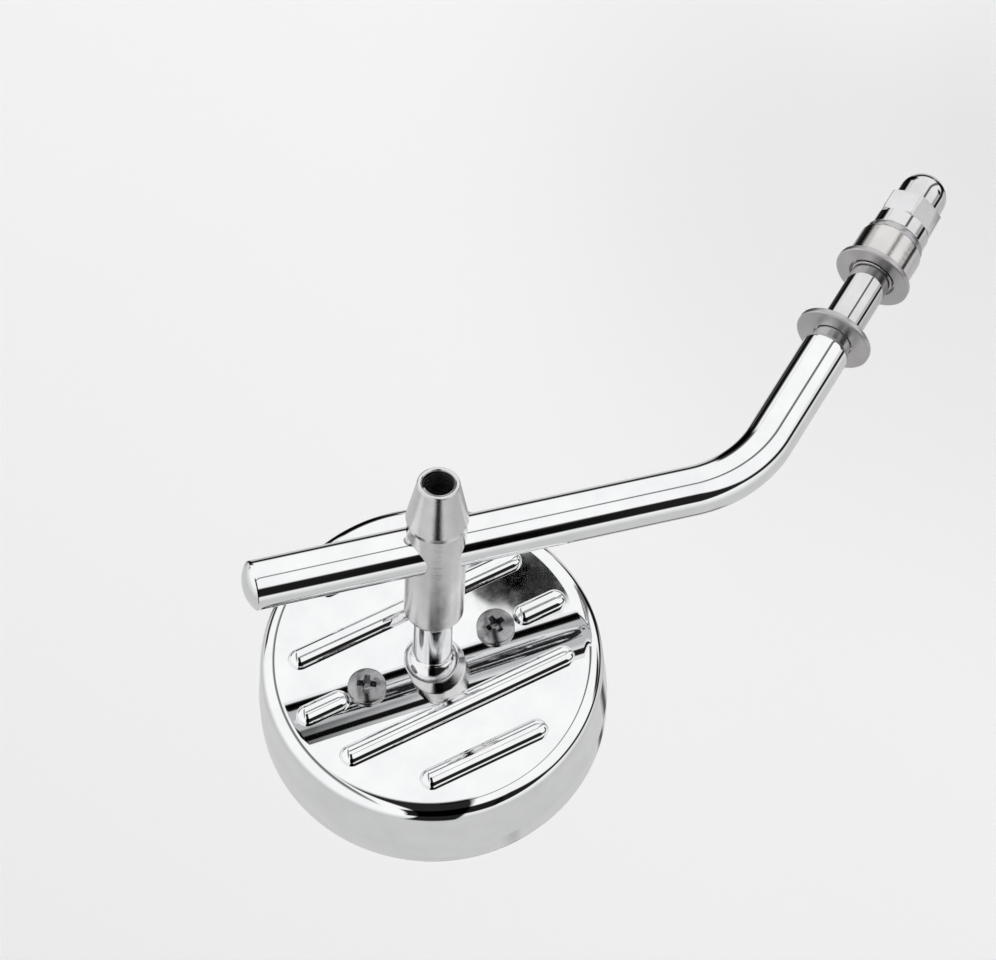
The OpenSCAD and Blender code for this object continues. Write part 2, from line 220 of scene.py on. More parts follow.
def carve(obj, cutter, operation="DIFFERENCE"):
    modifier = obj.modifiers.new("carve", "BOOLEAN")
    modifier.operation = operation
    modifier.solver = "EXACT"
    modifier.object = cutter
    applied(obj)
    bpy.data.objects.remove(cutter, do_unlink=True)
    bm = bmesh.new()
    bm.from_mesh(obj.data)
    bmesh.ops.remove_doubles(bm, verts=bm.verts, dist=2e-7)
    markEdges(bm)
    bm.to_mesh(obj.data)
    bm.free()
    return obj


def joined(name, pieces, material):
    bm = bmesh.new()
    for piece in pieces:
        bm.from_mesh(piece.data)
    for face in bm.faces:
        face.material_index = 0
    mesh = bpy.data.meshes.new(name)
    bm.to_mesh(mesh)
    bm.free()
    for piece in pieces:
        bpy.data.objects.remove(piece, do_unlink=True)
    obj = newObject(name, mesh)
    mesh.materials.append(material)
    return obj


# Finishes

def newMaterial(name):
    material = bpy.data.materials.new(name)
    material.use_nodes = True
    nodes = material.node_tree.nodes
    nodes.clear()
    out = nodes.new("ShaderNodeOutputMaterial")
    shader = nodes.new("ShaderNodeBsdfPrincipled")
    material.node_tree.links.new(shader.outputs[0], out.inputs[0])
    return material, nodes, material.node_tree.links, shader


def placedCoords(nodes, links, place=None):
    coords = nodes.new("ShaderNodeTexCoord")
    if place is None:
        return coords.outputs["Object"]
    inverse = (place @ mm.inverted()).inverted()
    mapping = nodes.new("ShaderNodeMapping")
    mapping.inputs["Location"].default_value = inverse.translation
    mapping.inputs["Rotation"].default_value = inverse.to_euler()
    links.new(coords.outputs["Object"], mapping.inputs["Vector"])
    return mapping.outputs["Vector"]


def noise(nodes, links, vector, scale, detail=3.0, rough=0.5):
    node = nodes.new("ShaderNodeTexNoise")
    node.inputs["Scale"].default_value = scale
    node.inputs["Detail"].default_value = detail
    node.inputs["Roughness"].default_value = rough
    links.new(vector, node.inputs["Vector"])
    return node.outputs["Fac"]


def ramp(nodes, links, value, low, high, outLow, outHigh):
    node = nodes.new("ShaderNodeMapRange")
    for i, v in enumerate((low, high, outLow, outHigh)):
        node.inputs[i + 1].default_value = v
    links.new(value, node.inputs[0])
    return node.outputs[0]


def mixColour(nodes, links, factor, a, b):
    node = nodes.new("ShaderNodeMix")
    node.data_type = "RGBA"
    links.new(factor, node.inputs[0])
    for socket, value in ((node.inputs[6], a), (node.inputs[7], b)):
        socket.default_value = (*value, 1)
    return node.outputs[2]


def bump(nodes, links, height, strength, distance, normal=None):
    node = nodes.new("ShaderNodeBump")
    node.inputs["Strength"].default_value = strength
    node.inputs["Distance"].default_value = distance
    links.new(height, node.inputs["Height"])
    if normal:
        links.new(normal, node.inputs["Normal"])
    return node.outputs["Normal"]


def stretched(nodes, links, vector, scale):
    node = nodes.new("ShaderNodeVectorMath")
    node.operation = "MULTIPLY"
    node.inputs[1].default_value = scale
    links.new(vector, node.inputs[0])
    return node.outputs[0]


# How fine each layer of a metal is, how deep its bump goes in metres, and the painted shade inside a tapped hole
metalLayers = {"smudge": 90, "scuff": 420, "ripple": 60, "grain": 4200, "lines": 60, "lineStretch": 100,
               "rippleDeep": 0.0004, "grainDeep": 0.00008, "linesDeep": 0.0001, "boreShadeEdge": 0.0003,
               "paintedBoreShade": (0.13, 0.13, 0.132, 1)}


# Bright or satin metal. lines are turning marks round the local Z axis, bore is the radius of a hole darkened with
# painted shade
def metalFinish(name, colour, dark, roughness, grain=0.0, place=None, lines=0.0, waviness=0.15, bore=None):
    layer = metalLayers
    material, nodes, links, shader = newMaterial(name)
    vector = placedCoords(nodes, links, place)
    shader.inputs["Metallic"].default_value = 1.0
    smudge = noise(nodes, links, vector, layer["smudge"], 4, 0.6)
    shade = ramp(nodes, links, smudge, 0.35, 0.75, 0, 1)
    base = mixColour(nodes, links, shade, colour, dark)
    if bore:      # painted shade darkens the inside of the tapped hole
        radial = nodes.new("ShaderNodeVectorMath")
        radial.operation = "LENGTH"
        links.new(stretched(nodes, links, vector, (1, 1, 0)), radial.inputs[0])
        inside = nodes.new("ShaderNodeMix")
        inside.data_type = "RGBA"
        edge = ramp(nodes, links, radial.outputs["Value"], bore, bore + layer["boreShadeEdge"], 1, 0)
        links.new(edge, inside.inputs[0])
        links.new(base, inside.inputs[6])
        inside.inputs[7].default_value = layer["paintedBoreShade"]
        base = inside.outputs[2]
    links.new(base, shader.inputs["Base Color"])
    scuff = noise(nodes, links, vector, layer["scuff"], 5, 0.65)
    links.new(ramp(nodes, links, scuff, 0.3, 0.8, *roughness), shader.inputs["Roughness"])
    ripple = noise(nodes, links, vector, layer["ripple"], 2, 0.4)      # plating is never dead flat
    normal = bump(nodes, links, ripple, waviness, layer["rippleDeep"])
    if grain:
        grit = noise(nodes, links, vector, layer["grain"], 4, 0.7)
        normal = bump(nodes, links, grit, grain, layer["grainDeep"], normal)
    if lines:
        drawn = stretched(nodes, links, vector, (1, 1, layer["lineStretch"]))
        marks = noise(nodes, links, drawn, layer["lines"], 5, 0.75)
        normal = bump(nodes, links, marks, lines, layer["linesDeep"], normal)
    links.new(normal, shader.inputs["Normal"])
    return material


# Rubber, plastic or foam, with layers for its colour, roughness and bump
def softFinish(name, colour, dark, roughness, layers, details, strength, deep):
    material, nodes, links, shader = newMaterial(name)
    vector = placedCoords(nodes, links)
    shade, scuff, grit = [noise(nodes, links, vector, scale, detail) for scale, detail in zip(layers, details)]
    links.new(mixColour(nodes, links, shade, colour, dark), shader.inputs["Base Color"])
    links.new(ramp(nodes, links, scuff, 0.3, 0.7, *roughness), shader.inputs["Roughness"])
    links.new(bump(nodes, links, grit, strength, deep), shader.inputs["Normal"])
    return material


chromeLook = {"colour": (0.88, 0.885, 0.89), "dark": (0.80, 0.805, 0.815)}

rodChrome = metalFinish("rodChrome", chromeLook["colour"], chromeLook["dark"], (0.035, 0.08), waviness=0.05)
housingChrome = metalFinish("housingChrome", chromeLook["colour"], chromeLook["dark"], (0.012, 0.03),
                            place=backPlace, waviness=0.02)
hardwareChrome = metalFinish("hardwareChrome", (0.72, 0.72, 0.73), (0.58, 0.58, 0.59), (0.03, 0.09), waviness=0.16)
washerZinc = metalFinish("washerZinc", (0.58, 0.565, 0.565), (0.49, 0.48, 0.48), (0.3, 0.42), grain=0.12)
collarSteel = metalFinish("collarSteel", (0.72, 0.70, 0.69), (0.6, 0.59, 0.585), (0.08, 0.2), grain=0.08,
                          place=mm, lines=0.2)
lockSteel = metalFinish("lockSteel", (0.55, 0.55, 0.56), (0.35, 0.35, 0.36), (0.2, 0.35), grain=0.2)
# bore darkens the post's tapped hole with painted shade
postSatin = metalFinish("postSatin", (0.74, 0.73, 0.73), (0.62, 0.61, 0.61), (0.07, 0.14), grain=0.06,
                        place=postPlace, lines=0.3, bore=0.0042)
ballPolish = metalFinish("ballPolish", (0.86, 0.86, 0.87), (0.76, 0.76, 0.77), (0.05, 0.11), place=postPlace,
                         lines=0.12)
screwPlate = metalFinish("screwPlate", (0.56, 0.56, 0.57), (0.12, 0.12, 0.125), (0.08, 0.2), grain=0.3, waviness=2.5)
blackOxide = metalFinish("blackOxide", (0.10, 0.10, 0.105), (0.05, 0.05, 0.055), (0.3, 0.45), grain=0.3)
plainSteel = metalFinish("plainSteel", (0.58, 0.58, 0.59), (0.46, 0.46, 0.47), (0.25, 0.4), grain=0.3)
mirrorGlass = metalFinish("mirrorGlass", (0.90, 0.915, 0.92), (0.885, 0.905, 0.91), (0.01, 0.03), waviness=0.01)
rubber = softFinish("gasketRubber", (0.012, 0.012, 0.012), (0.03, 0.03, 0.031), (0.45, 0.7), (300, 900, 2500),
                    (3, 3, 3), 0.25, 0.0001)
seatPlastic = softFinish("seatPlastic", (0.8, 0.78, 0.7), (0.7, 0.68, 0.6), (0.4, 0.6), (240, 700, 1200),
                         (4, 3, 4), 0.3, 0.0002)
padFoam = softFinish("padFoam", (0.05, 0.05, 0.05), (0.09, 0.09, 0.09), (0.8, 0.95), (240, 700, 2600),
                     (4, 3, 4), 0.3, 0.0002)
print("finishes made")


# Arm

# roundOff and tipEdge are (how far along, how much in) from where each edge starts
rodSizes = {"radius": 6.345, "shoulder": 4.7, "neck": 5.2, "neckEdge": 0.15, "stud": 4.76, "core": 4.0,
            "threadTop": -19.0, "runOut": 0.4, "studEnd": -47.0, "chamfer": 0.7, "pitch": 1.5875,
            "roundOff": ((0, 0.7), (0.1, 0.45), (0.35, 0.15), (0.7, 0)), "rootRings": (1.6, 5),
            "tip": 50.2, "dome": 2.2, "tipRings": (40, 8, 1.2, 0.25), "tipEdge": ((-0.05, 0.05), (0.08, 0.22)),
            "bendSteps": 40, "domeSteps": 12}


def makeArm(s):
    up = Vector((0, 0, 1))
    radius = s["radius"]
    onAxis = [(s["studEnd"], 0), (s["studEnd"], s["core"] - s["chamfer"]), (s["studEnd"] + s["chamfer"], s["core"]),
              (s["threadTop"], s["core"]), (s["threadTop"] + s["runOut"], s["stud"]), (0, s["stud"]),
              (0, s["neck"] - s["neckEdge"]), (s["neckEdge"], s["neck"]), (s["shoulder"], s["neck"])]
    onAxis += [(s["shoulder"] + rise, radius - inset) for rise, inset in s["roundOff"]]
    onAxis += [(s["shoulder"] + rise, radius) for rise in s["rootRings"]]
    stations = [(Vector((0, 0, z)), up, r) for z, r in onAxis]
    tangent = bendRadius * math.tan(bendAngle / 2)
    start = bendHeight - tangent
    for k in range(s["bendSteps"] + 1):
        a = bendAngle * k / s["bendSteps"]
        stations.append((Vector((bendRadius * (1 - math.cos(a)), 0, start + bendRadius * math.sin(a))),
                         Vector((math.sin(a), 0, math.cos(a))), radius))
    length = postReach - tangent + s["tip"]
    edge = length - s["dome"]
    capRadius = (radius ** 2 + s["dome"] ** 2) / (2 * s["dome"])
    capAngle = math.asin(radius / capRadius)
    onSlope = [(edge - back, radius) for back in s["tipRings"]]      # these keep the long straight's shading even
    onSlope += [(edge + along, radius - inset) for along, inset in s["tipEdge"]]
    for k in range(2, s["domeSteps"] + 1):
        a = capAngle * (1 - k / s["domeSteps"])
        onSlope.append((length - capRadius + capRadius * math.cos(a), capRadius * math.sin(a)))
    bendEnd = Vector((0, 0, bendHeight)) + tangent * armDirection
    stations += [(bendEnd + armDirection * z, armDirection, r) for z, r in onSlope]
    return tubePiece("bentArm", stations, mm, rodChrome)


arm = makeArm(rodSizes)
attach(arm, "arm_body")
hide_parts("arm")
print("arm made")


# Stud hardware

# The wire of the split washer starts at splitAt degrees, and its ends are spread apart along the stud
stackSizes = {"washer": 10.3, "innerHole": 5.45, "outerHole": 6.4, "washerThick": 1.6, "washerEdge": 0.25,
              "washerRim": 0.4, "bore": 4.815, "sleeve": 5.4, "sleeveLength": 21.5, "sleeveEdge": 0.3,
              "collar": 8.7, "collarLength": 9.9, "collarEdge": 0.5, "spigot": 5.7, "smallEdge": 0.2,
              "lock": 8.1, "lockThick": 2.4, "lockEdge": 0.3, "split": 1.1, "splitAt": -40, "spread": 0.25,
              "wireIn": 0.14, "wireSteps": 120}


def flatWasher(name, hole, low, s):
    high = low + s["washerThick"]
    edge = s["washerEdge"]
    outline = roundedOutline([(hole, low, edge), (s["washer"], low, edge), (s["washer"], high, s["washerRim"]),
                              (hole, high, edge)], closed=True)
    return turnedPiece(name, outline, mm, washerZinc, ring=True)


def plainSleeve(s, low):
    edge = s["sleeveEdge"]
    outline = roundedOutline([(s["bore"], low, edge / 2), (s["sleeve"], low, edge), (s["sleeve"], 0, edge),
                              (s["bore"], 0, edge / 2)], closed=True)
    return turnedPiece("spacerSleeve", outline, mm, hardwareChrome, ring=True)


def spigotCollar(s, low, high):
    top = high + s["washerThick"]
    edge, small = s["collarEdge"], s["smallEdge"]
    outline = roundedOutline([(s["bore"], low, small), (s["collar"], low, edge), (s["collar"], high, edge),
                              (s["spigot"], high, small / 2), (s["spigot"], top, small), (s["bore"], top, small)],
                             closed=True)
    return turnedPiece("collarSpacer", outline, mm, collarSteel, ring=True)


# One turn of square wire, sprung a little apart at its ends
def splitWasher(s, low):
    bm = bmesh.new()
    inner, outer, edge = s["bore"], s["lock"], s["lockEdge"]
    gap = s["split"] / outer
    section = roundedOutline([(inner, 0, edge / 2), (outer, 0, edge), (outer, 1, edge), (inner, 1, edge / 2)],
                             closed=True, steps=3)
    rows = []
    turns = s["wireSteps"]
    for k in range(turns + 1):
        a = math.radians(s["splitAt"]) + gap / 2 + (2 * math.pi - gap) * k / turns
        slope = s["spread"] * (k / turns - 0.5)
        rows.append([bm.verts.new(mm @ Vector((r * math.cos(a), r * math.sin(a), low + s["wireIn"]
                                               + z * (s["lockThick"] - 2 * s["wireIn"]) + slope)))
                     for r, z in section])
    for a, b in zip(rows, rows[1:]):
        for k in range(len(section)):
            bm.faces.new([a[k - 1], a[k], b[k], b[k - 1]])
    bm.faces.new(rows[0])
    bm.faces.new(rows[-1])
    return finishMesh(bm, "splitLockWasher", lockSteel)


# lap is how far the foot runs into the hexagon, proud how far the cone that trims it stands clear
nutSizes = {"corner": 8.255, "flat": 7.15, "foot": 7.5, "footHeight": 4.4, "footEdge": 0.3, "hexHeight": 7.0,
            "dome": 6.445, "crown": 4.7, "skirt": 0.45, "chamfer": 22, "turn": 20.3, "bevel": 0.3, "lap": 0.1,
            "proud": 0.05, "domeSteps": 24}


def domedNut(s, top, bore):
    footLow = top - s["footHeight"]
    hexLow = footLow - s["hexHeight"]
    outline = roundedOutline([(bore, top, 0.2), (s["foot"], top, s["footEdge"]), (s["foot"], footLow - s["lap"], 0),
                              (bore, footLow - s["lap"], 0)], closed=True)
    foot = turnedPiece("nutFoot", outline, mm, ring=True)
    drop = (s["corner"] - s["flat"]) * math.tan(math.radians(s["chamfer"]))
    wide, narrow = s["corner"] + s["proud"], s["flat"] - s["proud"]
    body = turnedPiece("nutBody", [(0, footLow), (narrow, footLow), (wide, footLow - drop), (wide, hexLow + drop),
                                   (narrow, hexLow), (0, hexLow)], mm)
    prism = prismPiece("nutPrism", s["corner"], hexLow - 1, footLow + 1, mm, turned=math.radians(s["turn"]))
    bevel = prism.modifiers.new("soft", "BEVEL")
    bevel.width = s["bevel"] * 0.001
    bevel.segments = 3
    applied(prism)
    carve(body, prism, "INTERSECT")
    low, high = hexLow - 0.5, footLow + 1
    carve(body, turnedPiece("boreCut", [(0, low), (bore, low), (bore, high), (0, high)], mm))
    domeTop = hexLow + 0.3
    centre = hexLow - s["crown"]
    outline = [(0, domeTop), (s["dome"] + 0.35, domeTop), (s["dome"] + 0.3, hexLow - 0.05),
               (s["dome"], hexLow - s["skirt"])]
    outline += [(s["dome"] * math.cos(a), centre - s["dome"] * math.sin(a))
                for a in (math.pi / 2 * k / s["domeSteps"] for k in range(s["domeSteps"] + 1))]
    dome = turnedPiece("nutDome", outline, mm)
    return joined("domedNut", [foot, body, dome], hardwareChrome)


sleeveLow = -stackSizes["sleeveLength"]
collarTop = sleeveLow - stackSizes["washerThick"]
lockTop = collarTop - stackSizes["collarLength"]
nutTop = lockTop - stackSizes["lockThick"]
innerWasher = flatWasher("innerWasher", stackSizes["innerHole"], 0, stackSizes)
outerWasher = flatWasher("outerWasher", stackSizes["outerHole"], collarTop, stackSizes)
sleeve = plainSleeve(stackSizes, sleeveLow)
collar = spigotCollar(stackSizes, lockTop, collarTop)
lockWasher = splitWasher(stackSizes, nutTop)
nut = domedNut(nutSizes, nutTop, stackSizes["bore"])
for piece, body, node, slotName in ((innerWasher, "loose_washer", "inner_washer", "zinc_washer"),
                                    (sleeve, "bracket_side", "spacer_sleeve", "chrome_hardware"),
                                    (outerWasher, "fixings", "outer_washer", "zinc_washer"),
                                    (collar, "fixings", "collar_spacer", "satin_spacer"),
                                    (lockWasher, "fixings", "lock_washer", "spring_steel"),
                                    (nut, "fixings", "acorn_nut", "chrome_hardware")):
    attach(piece, body)
    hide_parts(node)
print("stud hardware made")


# Clamp post and ball

postSizes = {"body": 7.65, "edge": 7.95, "top": 5.3, "topZ": 24.3, "coneZ": 11.3, "footZ": 27.8, "taper": 3.4,
             "hole": 4.0, "rim": 0.3, "shank": 4.0, "bore": 6.40, "cross": 12}
ballSizes = {"ball": 7.1, "neck": 5.05, "neckStart": 5.3, "shank": 3.98, "shankTop": -16.8, "steps": 60}
setScrewSizes = {"radius": 3.95, "low": 6.40, "length": 7.0, "point": 1.2, "root": 0.5, "bevel": 0.3,
                 "pointLength": 0.7, "socket": 4.0, "socketDeep": 3.5}


def makePost(s, shankTop):
    low, high = -s["footZ"], s["topZ"]
    hollow = high - s["rim"]
    outline = roundedOutline([(0, low, 0), (s["top"], low, 0.35), (s["body"], s["taper"] + low, 2.2),
                              (s["body"], s["coneZ"] - 1.5, 0.8), (s["edge"], s["coneZ"], 0.25),
                              (s["top"] + 0.05, high, 0.45), (s["hole"] + 0.55, high, 0.1),
                              (s["hole"] + s["rim"], hollow, 0), (0, hollow, 0)])
    post = turnedPiece("clampPost", outline, postPlace, postSatin, steps=192)
    cross = turnedPiece("crossCut", [(0, -s["cross"]), (s["bore"], -s["cross"]), (s["bore"], s["cross"]),
                                     (0, s["cross"])], postPlace @ turn(math.pi / 2, "X"), steps=144)
    carve(post, cross)
    tapped = turnedPiece("tappedCut", [(0, 0), (s["hole"], 0), (s["hole"], high - 2 * s["rim"]),
                                       (s["hole"] + 0.35, high + 0.1), (0, high + 0.1)], postPlace, steps=96)
    carve(post, tapped)
    socket = turnedPiece("shankCut", [(0, low - 1), (s["shank"], low - 1), (s["shank"], shankTop), (0, shankTop)],
                         postPlace, steps=96)
    return carve(post, socket)


def makeBallStud(s, footZ):
    lowest = math.asin(s["neck"] / s["ball"])
    outline = [(s["ball"] * math.sin(a), -ballReach - s["ball"] * math.cos(a))
               for a in ((math.pi - lowest - 0.03) * k / s["steps"] for k in range(s["steps"] + 1))]
    outline += roundedOutline([(outline[-1][0], outline[-1][1], 0), (s["neck"], -ballReach + s["neckStart"], 0.3),
                               (s["neck"], -footZ, 0.2), (s["shank"], -footZ, 0), (s["shank"], s["shankTop"], 0.4),
                               (0, s["shankTop"], 0)])[1:]
    return turnedPiece("ballStud", outline, postPlace, ballPolish)


def makeSetScrew(s):
    low, high = s["low"], s["low"] + s["length"]
    root = s["radius"] - s["root"]
    outline = roundedOutline([(0, low, 0), (s["radius"] - s["point"], low, 0.1), (root, low + s["pointLength"], 0),
                              (root, high - s["bevel"], 0), (s["radius"] - 0.8, high, 0.1), (0, high, 0)])
    screw = turnedPiece("setScrew", outline, postPlace, blackOxide, steps=96)
    key = prismPiece("keyCut", s["socket"] / 2 / math.cos(math.pi / 6), high - s["socketDeep"], high + 1, postPlace)
    return carve(screw, key)


post = makePost(postSizes, ballSizes["shankTop"])
ballStud = makeBallStud(ballSizes, postSizes["footZ"])
setScrew = makeSetScrew(setScrewSizes)
for piece, body, node, slotName in ((post, "post", "clamp_post", "satin_post"),
                                    (ballStud, "post", "ball_stud", "polished_ball"),
                                    (setScrew, "screw", "set_screw", "black_screw")):
    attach(piece, body)
    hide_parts(node)
print("post and ball made")


# Housing, with its height measured from the flat back

shellSizes = {"flat": 39.3, "shoulder": 4.74, "front": 45.04, "depth": 28.3, "wall": 1.2, "bezel": 2.7,
              "hub": 11.5, "hubEnd": -17.4, "hubTop": -3.5, "bore": 9.2, "flare": 7.0, "flareDepth": 0.45,
              "socket": 7.2, "ledgeTop": -19.8, "ledge": 1.4, "ledgeIn": 40.95}


def makeShell(s):
    seam = -(s["depth"] - s["bezel"])
    side = s["flat"] + s["shoulder"]
    wall = s["wall"]
    throat = math.sqrt(s["socket"] ** 2 - (ballDepth - s["flareDepth"]) ** 2)
    outline = [(s["socket"] * math.cos(a), -ballDepth + s["socket"] * math.sin(a))
               for a in (math.asin((ballDepth - s["flareDepth"]) / s["socket"]) * k / 8 for k in range(9))]
    outline += roundedOutline([(throat, -s["flareDepth"], 0), (s["flare"], 0, 0.12), (s["flat"], 0, 0)])[1:]
    outline += [(s["flat"] + s["shoulder"] * math.sin(a), -s["shoulder"] + s["shoulder"] * math.cos(a))
                for a in (math.pi / 2 * k / 20 for k in range(1, 21))]
    under = s["ledgeTop"] - s["ledge"]
    front, inside = s["front"], s["front"] - wall
    outline += [(front, s["ledgeTop"]), (front, seam), (inside, seam), (inside, under), (s["ledgeIn"], under),
                (s["ledgeIn"], s["ledgeTop"]), (inside, s["ledgeTop"]), (side - wall, -s["shoulder"])]
    within = s["shoulder"] - wall
    outline += [(s["flat"] + within * math.sin(a), -s["shoulder"] + within * math.cos(a))
                for a in (math.pi / 2 * (1 - k / 12) for k in range(1, 13))]
    outline += [(s["hub"], -wall), (s["hub"], s["hubEnd"]), (s["bore"], s["hubEnd"]), (s["bore"], s["hubTop"]),
                (s["socket"], s["hubTop"])]
    return turnedPiece("housingShell", outline, backPlace, housingChrome, ring=True, steps=256)


ribSizes = {"width": 6.2, "height": 2.4, "pitch": 15.0, "long": 30.2, "short": 14.9, "inner": 26.6, "outer": 35.3,
            "sunk": -0.35, "sides": 64, "rings": 24}


# A node group with geometry in and out and the named inputs, and what a modifier calls those inputs
def newTree(name, inputs):
    tree = bpy.data.node_groups.new(name, "GeometryNodeTree")
    face = tree.interface
    face.new_socket("Geometry", in_out="INPUT", socket_type="NodeSocketGeometry")
    names = {}
    for label, kind in inputs.items():
        names[label] = face.new_socket(label, in_out="INPUT", socket_type="NodeSocket" + kind).identifier
    face.new_socket("Geometry", in_out="OUTPUT", socket_type="NodeSocketGeometry")
    source, sink = tree.nodes.new("NodeGroupInput"), tree.nodes.new("NodeGroupOutput")
    return tree, source.outputs, sink.inputs[0], names


def geometryNodes(tree, *kinds):
    return [tree.nodes.new("GeometryNode" + kind) for kind in kinds]


def connect(tree, pairs):
    for output, target in pairs:
        tree.links.new(output, target)


# Runs a node group on an object and keeps its mesh
def grown(obj, tree, names, values):
    modifier = obj.modifiers.new(tree.name, "NODES")
    modifier.node_group = tree
    for label, value in values.items():
        modifier[names[label]] = value
    return applied(obj)


# A half-round rib with ball-shaped ends, from each edge of the mesh it is put on
def ribTree(rings):
    tree, given, result, names = newTree("backRibs", {"Rib radius": "Float", "Sides": "Int", "Finish": "Material"})
    toCurve, profile, sweep, ball, atEnds, join, smooth, real, paint = geometryNodes(
        tree, "MeshToCurve", "CurvePrimitiveCircle", "CurveToMesh", "MeshUVSphere", "InstanceOnPoints",
        "JoinGeometry", "SetShadeSmooth", "RealizeInstances", "SetMaterial")
    sweep.inputs["Fill Caps"].default_value = True
    ball.inputs["Rings"].default_value = rings
    connect(tree, (
        (given["Geometry"], toCurve.inputs[0]), (given["Sides"], profile.inputs["Resolution"]),
        (given["Rib radius"], profile.inputs["Radius"]), (toCurve.outputs[0], sweep.inputs["Curve"]),
        (profile.outputs[0], sweep.inputs["Profile Curve"]), (given["Sides"], ball.inputs["Segments"]),
        (given["Rib radius"], ball.inputs["Radius"]), (given["Geometry"], atEnds.inputs["Points"]),
        (ball.outputs["Mesh"], atEnds.inputs["Instance"]), (sweep.outputs[0], join.inputs[0]),
        (atEnds.outputs[0], join.inputs[0]), (join.outputs[0], smooth.inputs["Geometry"]),
        (smooth.outputs[0], real.inputs[0]), (real.outputs[0], paint.inputs["Geometry"]),
        (given["Finish"], paint.inputs["Material"]), (paint.outputs[0], result)))
    return tree, names


def makeRibs(s):
    radius = s["width"] / 2
    height = s["height"] - radius
    lines = [(-s["long"], s["long"], s["pitch"]), (-s["long"], s["long"], -s["pitch"]),
             (-s["short"], s["short"], 2 * s["pitch"]), (-s["short"], s["short"], -2 * s["pitch"]),
             (-s["outer"], -s["inner"], 0), (s["inner"], s["outer"], 0)]
    bm = bmesh.new()
    for low, high, y in lines:
        bm.edges.new([bm.verts.new(backPlace @ Vector((x, y, height))) for x in (low, high)])
    mesh = bpy.data.meshes.new("backRibs")
    bm.to_mesh(mesh)
    bm.free()
    tree, names = ribTree(s["rings"])
    ribs = grown(newObject("backRibs", mesh), tree, names,
                 {"Rib radius": radius * 0.001, "Sides": s["sides"], "Finish": housingChrome})
    bm = bmesh.new()
    bm.from_mesh(ribs.data)
    level = backPlace @ Vector((0, 0, s["sunk"]))
    bmesh.ops.bisect_plane(bm, geom=bm.verts[:] + bm.edges[:] + bm.faces[:], plane_co=level, dist=1e-7,
                           plane_no=backPlace @ Vector((0, 0, 1 + s["sunk"])) - level, clear_inner=True)
    bmesh.ops.holes_fill(bm, edges=[edge for edge in bm.edges if edge.is_boundary])
    bpy.data.objects.remove(ribs, do_unlink=True)
    return finishMesh(bm, "backRibs", housingChrome)


# skirtGap, gasketGap and glassGap are all measured inwards from the housing's wall
frontSizes = {"lip": 2.0, "lipThick": 1.3, "skirtGap": 0.3, "skirt": 0.63, "skirtDeep": 6.1, "gasketLip": 2.1,
              "gasketGap": 0.95, "gasketWall": 0.7, "gasketFront": 1.5, "gasketBack": 1.1, "glassIn": 2.8,
              "glassGap": 1.67, "glassThick": 2.2, "bulge": 0.8, "glassSteps": 40}


def makeBezel(s, f):
    front = -s["depth"]
    seam = front + s["bezel"]
    outer = s["front"]
    skirt = outer - s["wall"] - f["skirtGap"]
    inner = skirt - f["skirt"]
    lip = outer - f["lip"]
    behind = front + f["lipThick"]
    disc = front + f["skirtDeep"]
    outline = roundedOutline([(lip, behind, 0), (lip, front, 0.35), (outer, front, 0.9), (outer, seam + 0.02, 0.12),
                              (skirt, seam, 0), (skirt, disc, 0), (inner, disc, 0), (inner, behind, 0)], closed=True)
    return turnedPiece("bezelRing", outline, backPlace, housingChrome, ring=True, steps=256)


def makeGasket(s, f):
    front = -s["depth"] + f["lipThick"]
    outer = s["front"] - s["wall"] - f["gasketGap"]
    inner = s["front"] - f["lip"] - f["gasketLip"]
    groove = outer - f["gasketWall"]
    glassFront = front + f["gasketFront"]
    glassBack = glassFront + f["glassThick"]
    back = glassBack + f["gasketBack"]
    outline = roundedOutline([(inner, front, 0.5), (outer, front, 0.1), (outer, back, 0), (inner, back, 0),
                              (inner, glassBack, 0), (groove, glassBack, 0), (groove, glassFront, 0),
                              (inner, glassFront, 0.15)], closed=True)
    return turnedPiece("glassGasket", outline, backPlace, rubber, ring=True, steps=192)


def makeGlass(s, f):
    front = -s["depth"] + f["glassIn"]
    back = front + f["glassThick"]
    edge = s["front"] - s["wall"] - f["glassGap"]
    seen = s["front"] - f["lip"] - f["gasketLip"]
    steps = f["glassSteps"]
    outline = [(0, back), (edge, back), (edge, front)]
    outline += [(seen * (1 - k / steps), front - f["bulge"] * (1 - (1 - k / steps) ** 2)) for k in range(steps + 1)]
    return turnedPiece("mirrorGlass", outline, backPlace, mirrorGlass, steps=192)


# slotFoot and slotTop are half lengths of the recess, core is its pointed middle
screwSizes = {"head": 4.95, "height": 3.0, "edge": 1.35, "shank": 2.5, "length": 20.0, "pitch": 36.74, "seat": 0.02,
              "crown": 0.93, "slot": 1.45, "slotFoot": 0.9, "slotTop": 3.3, "slotDeep": 2.4, "draft": 0.12,
              "core": (0.9, 1.55), "lean": -32, "step": -50}


